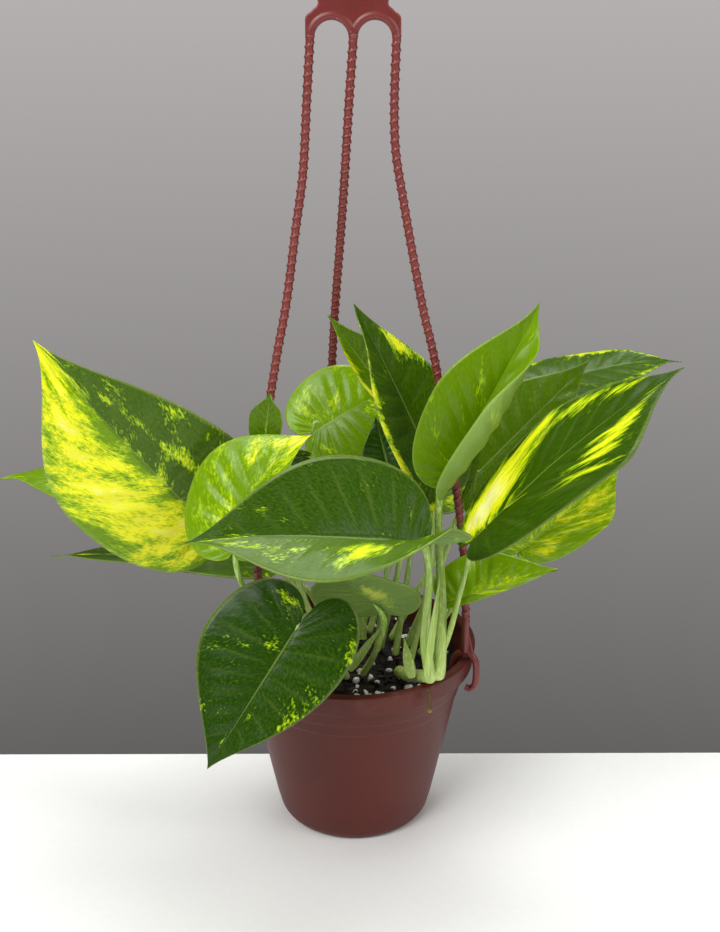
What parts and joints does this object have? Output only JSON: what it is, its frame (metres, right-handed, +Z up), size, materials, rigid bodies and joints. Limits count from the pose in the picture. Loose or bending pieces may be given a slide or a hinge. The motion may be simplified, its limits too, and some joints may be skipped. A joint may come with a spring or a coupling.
{
  "type": "potted trailing houseplant",
  "caption": "Variegated heart-leaved vine in a tapered plastic pot, with a moulded three-strand hanger clipped over the rim and joined at a hook head above.",
  "frame": {"origin": "centre of the pot's flat underside, on its axis", "axes": "+Z up along the pot's axis to the hook, -Y towards the front of the plant, +X to the right seen from the front"},
  "size_m": [0.3772, 0.2168, 0.4774],
  "materials": {
    "pot_plastic": "matte reddish-brown polypropylene",
    "hanger_plastic": "satin reddish-brown polypropylene",
    "potting_mix": "damp peat and bark mix with white perlite",
    "leaf_blade": "waxy green leaf with gold variegation",
    "petiole": "smooth pale green stalk",
    "root": "dry brown aerial root"
  },
  "bodies": {
    "root": {"pot": "pot_plastic", "soil": "potting_mix", "hanger_head": "hanger_plastic", "hanger_strand_left": "hanger_plastic", "hanger_strand_back": "hanger_plastic", "hanger_strand_right": "hanger_plastic", "leaf_01": "leaf_blade", "leaf_02": "leaf_blade", "leaf_03": "leaf_blade", "leaf_04": "leaf_blade", "leaf_05": "leaf_blade", "leaf_06": "leaf_blade", "leaf_07": "leaf_blade", "leaf_08": "leaf_blade", "leaf_09": "leaf_blade", "leaf_10": "leaf_blade", "leaf_11": "leaf_blade", "leaf_12": "leaf_blade", "leaf_13": "leaf_blade", "leaf_14": "leaf_blade", "leaf_15": "leaf_blade", "leaf_16": "leaf_blade", "leaf_17": "leaf_blade", "leaf_18": "leaf_blade", "leaf_19": "leaf_blade", "leaf_20": "leaf_blade", "leaf_21": "leaf_blade", "leaf_22": "leaf_blade", "petiole_01": "petiole", "petiole_02": "petiole", "petiole_03": "petiole", "petiole_04": "petiole", "petiole_05": "petiole", "petiole_06": "petiole", "petiole_07": "petiole", "petiole_08": "petiole", "petiole_09": "petiole", "petiole_10": "petiole", "petiole_11": "petiole", "petiole_12": "petiole", "petiole_13": "petiole", "petiole_14": "petiole", "petiole_15": "petiole", "petiole_16": "petiole", "petiole_17": "petiole", "petiole_18": "petiole", "petiole_19": "petiole", "petiole_20": "petiole", "petiole_21": "petiole", "petiole_22": "petiole", "sheath_01": "petiole", "sheath_02": "petiole", "sheath_03": "petiole", "vine_front": "petiole", "vine_left": "petiole", "vine_back": "petiole", "aerial_root": "root"}
  },
  "joints": []
}
